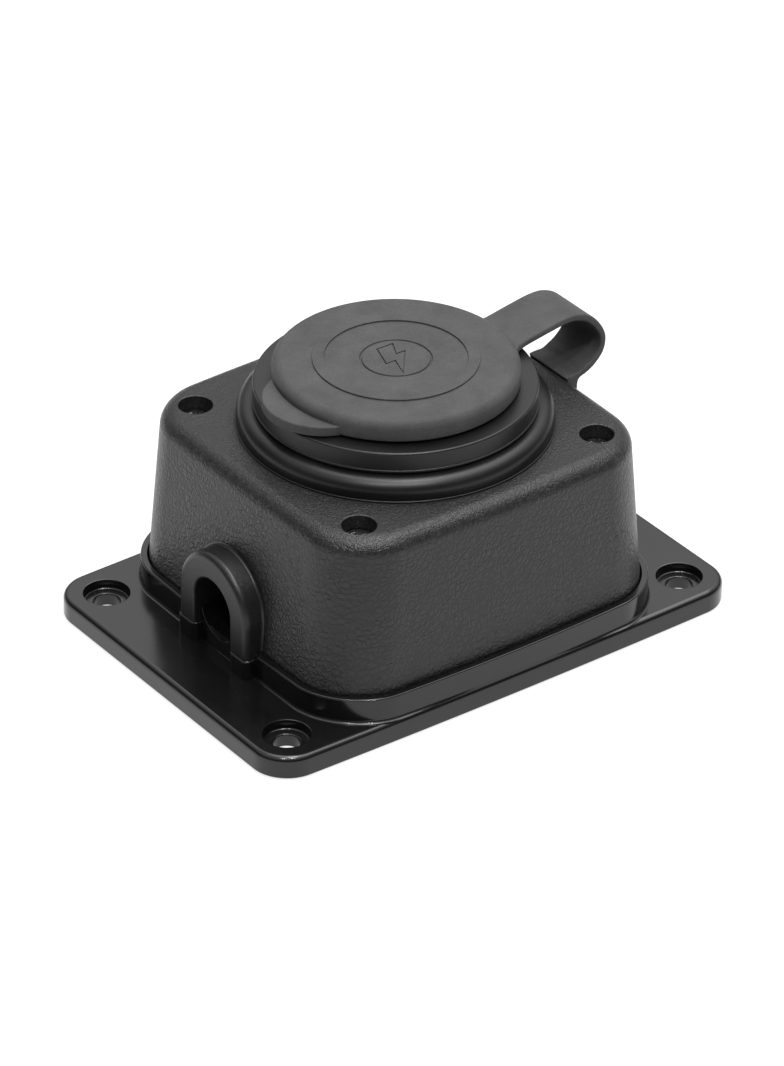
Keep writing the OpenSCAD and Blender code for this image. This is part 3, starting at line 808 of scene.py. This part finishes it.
piece(build_plate(), "base_plastic", "box", "base_plate")
piece(build_housing(), "grained_plastic", "box", "housing")
piece(build_collar(), "satin_plastic", "box", "collar_ring")
piece(build_inlet(), "satin_plastic", "box", "inlet_shell")
piece(build_cap(), "cap_rubber", "cap_body", "cap")
strap = piece(build_strap(), "cap_rubber", None, "strap")
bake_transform(strap)

# CAD nodes that keep their shape: softened edges and a moulded, turned or plated finish
kept = {
    "perimeter_gasket": ("seal_rubber", 0.1),
    "roof_gasket": ("seal_rubber", 0.12),
    "flange_gasket": ("seal_rubber", 0.2),
    "cap_seal": ("seal_rubber", 0),
    "housing_screws": ("screw_steel", 0.18),
    "carrier_screws": ("screw_steel", 0.12),
    "cover_screws": ("screw_steel", 0.12),
    "clamp_screws": ("screw_steel", 0.12),
    "terminal_screws": ("screw_steel", 0.12),
    "threaded_inserts": ("brass_turned", 0.15),
    "terminal_line": ("brass_turned", 0.2),
    "terminal_neutral": ("brass_turned", 0.2),
    "terminal_earth": ("brass_turned", 0.2),
    "blade_line": ("contact_brass", 0.2),
    "blade_neutral": ("contact_brass", 0.2),
    "blade_earth": ("contact_brass", 0.2),
    "cable_clamp": ("clamp_steel", 0.25),
    "contact_carrier": ("carrier_plastic", 0.25),
    "terminal_cover": ("base_plastic", 0.25),
    "retaining_nut": ("base_plastic", 0.3),
    "strap_stud": ("base_plastic", 0.3),
}
for name, (slot, width) in kept.items():
    node = nodes[name]
    for s in node.material_slots:
        s.material = materials[slot]
    weld = node.modifiers.new("weld", "WELD")
    weld.merge_threshold = 1e-6
    if width:
        flat = node.modifiers.new("flat", "DECIMATE")
        flat.decimate_type, flat.angle_limit = "DISSOLVE", math.radians(1.5)
        edge = node.modifiers.new("edge", "BEVEL")
        edge.width, edge.segments = width * MM, 3
        edge.limit_method, edge.angle_limit = "ANGLE", math.radians(35)
    split = node.modifiers.new("split", "EDGE_SPLIT")
    split.split_angle = math.radians(38)
    normals = node.modifiers.new("normals", "WEIGHTED_NORMAL")
    normals.keep_sharp = True

# ---- floor, light and camera ---------------------------------------------------------------

floor_mesh = bpy.data.meshes.new("floor")
floor_mesh.from_pydata([(-4, -4, 0), (4, -4, 0), (4, 4, 0), (-4, 4, 0)], [], [(0, 1, 2, 3)])
floor = obj("floor", floor_mesh)
floor.location.z = -0.0002
paper = Nodes("floor_paper", Base_Color=(0.25, 0.25, 0.25, 1), Roughness=0.9)
paper.shader.inputs["Emission Color"].default_value = (1, 1, 1, 1)
paper.shader.inputs["Emission Strength"].default_value = 0.74
paper.to("Roughness", paper.span(paper.noise(40), 0.3, 0.7, 0.85, 0.95))
floor.data.materials.append(paper.material)

world = bpy.data.worlds.new("studio")
scene.world = world
world.use_nodes = True
sky = world.node_tree


def sky_math(operation, a, b):
    return add_node(sky, "ShaderNodeMath", {0: a, 1: b}, operation=operation).outputs[0]


# A bright dome overhead that is dark near the horizon, and a glow low on the +X+Y side
direction = add_node(sky, "ShaderNodeTexCoord").outputs["Generated"]
height = add_node(sky, "ShaderNodeSeparateXYZ", {0: direction}).outputs["Z"]
towards = add_node(sky, "ShaderNodeVectorMath", {0: direction}, {1: (0.75, 0.66, 0)}, operation="DOT_PRODUCT")
behind = towards.outputs["Value"]
dome = map_range(sky, height, 0.45, 0.75, 0.10, 1.0, "SMOOTHSTEP")
glow_side = map_range(sky, behind, 0.2, 0.75, 0.0, 0.9, "SMOOTHSTEP")
glow = sky_math("MULTIPLY", glow_side, map_range(sky, height, 0.15, 0.45, 0.0, 1.0, "SMOOTHSTEP"))
level = sky_math("ADD", dome, glow)
background = sky.nodes["Background"]
sky.links.new(level, background.inputs["Strength"])
background.inputs["Color"].default_value = (1, 1, 1, 1)


def area_light(name, at, target, size, power):
    """Rectangular light at a place, turned to a target. Metres and watts."""
    data = bpy.data.lights.new(name, "AREA")
    data.shape, data.size, data.size_y, data.energy = "RECTANGLE", size[0], size[1], power
    lamp = obj(name, data)
    lamp.location = at
    lamp.rotation_mode = "QUATERNION"
    lamp.rotation_quaternion = (Vector(target) - Vector(at)).to_track_quat("-Z", "Y")


BOX_MIDDLE = (0, 0, 0.02)
area_light("top_softbox", (0.30, -0.02, 1.0), (0.30, -0.02, 0), (1.1, 0.95), 9.8)
area_light("small_softbox", (0.08, -0.06, 1.0), BOX_MIDDLE, (0.22, 0.2), 2.2)
area_light("edge_light_left", (-0.42, -0.34, 0.95), BOX_MIDDLE, (0.06, 0.06), 2.2)
area_light("edge_light_right", (-0.16, -0.52, 0.95), BOX_MIDDLE, (0.06, 0.06), 2.2)

# Camera at the photograph's angle: it looks at aim, a little off the middle of the object
camera_data = bpy.data.cameras.new("camera")
camera = obj("camera", camera_data)
scene.camera = camera
camera_data.sensor_fit = "AUTO"
camera_data.sensor_width = 36
camera_data.lens = 202.8
camera_data.clip_start, camera_data.clip_end = 0.05, 20
azimuth, elevation, roll, distance = math.radians(-36.70), math.radians(32.21), math.radians(0.568), 1.1548
right = Vector((math.cos(azimuth), math.sin(azimuth), 0))
forward = Vector((-math.sin(azimuth), math.cos(azimuth), 0))
back = Vector((0, 0, math.sin(elevation))) - forward * math.cos(elevation)
up = back.cross(right)
aim = Vector((0, 0, 0.0273)) - right * 0.00044 - up * 0.00938
turn = Matrix.Rotation(roll, 3, "Z")
camera.rotation_mode = "QUATERNION"
camera.rotation_quaternion = (Matrix((right, up, back)).transposed() @ turn).to_quaternion()
camera.location = aim + back * distance

scene.view_settings.view_transform = "Standard"
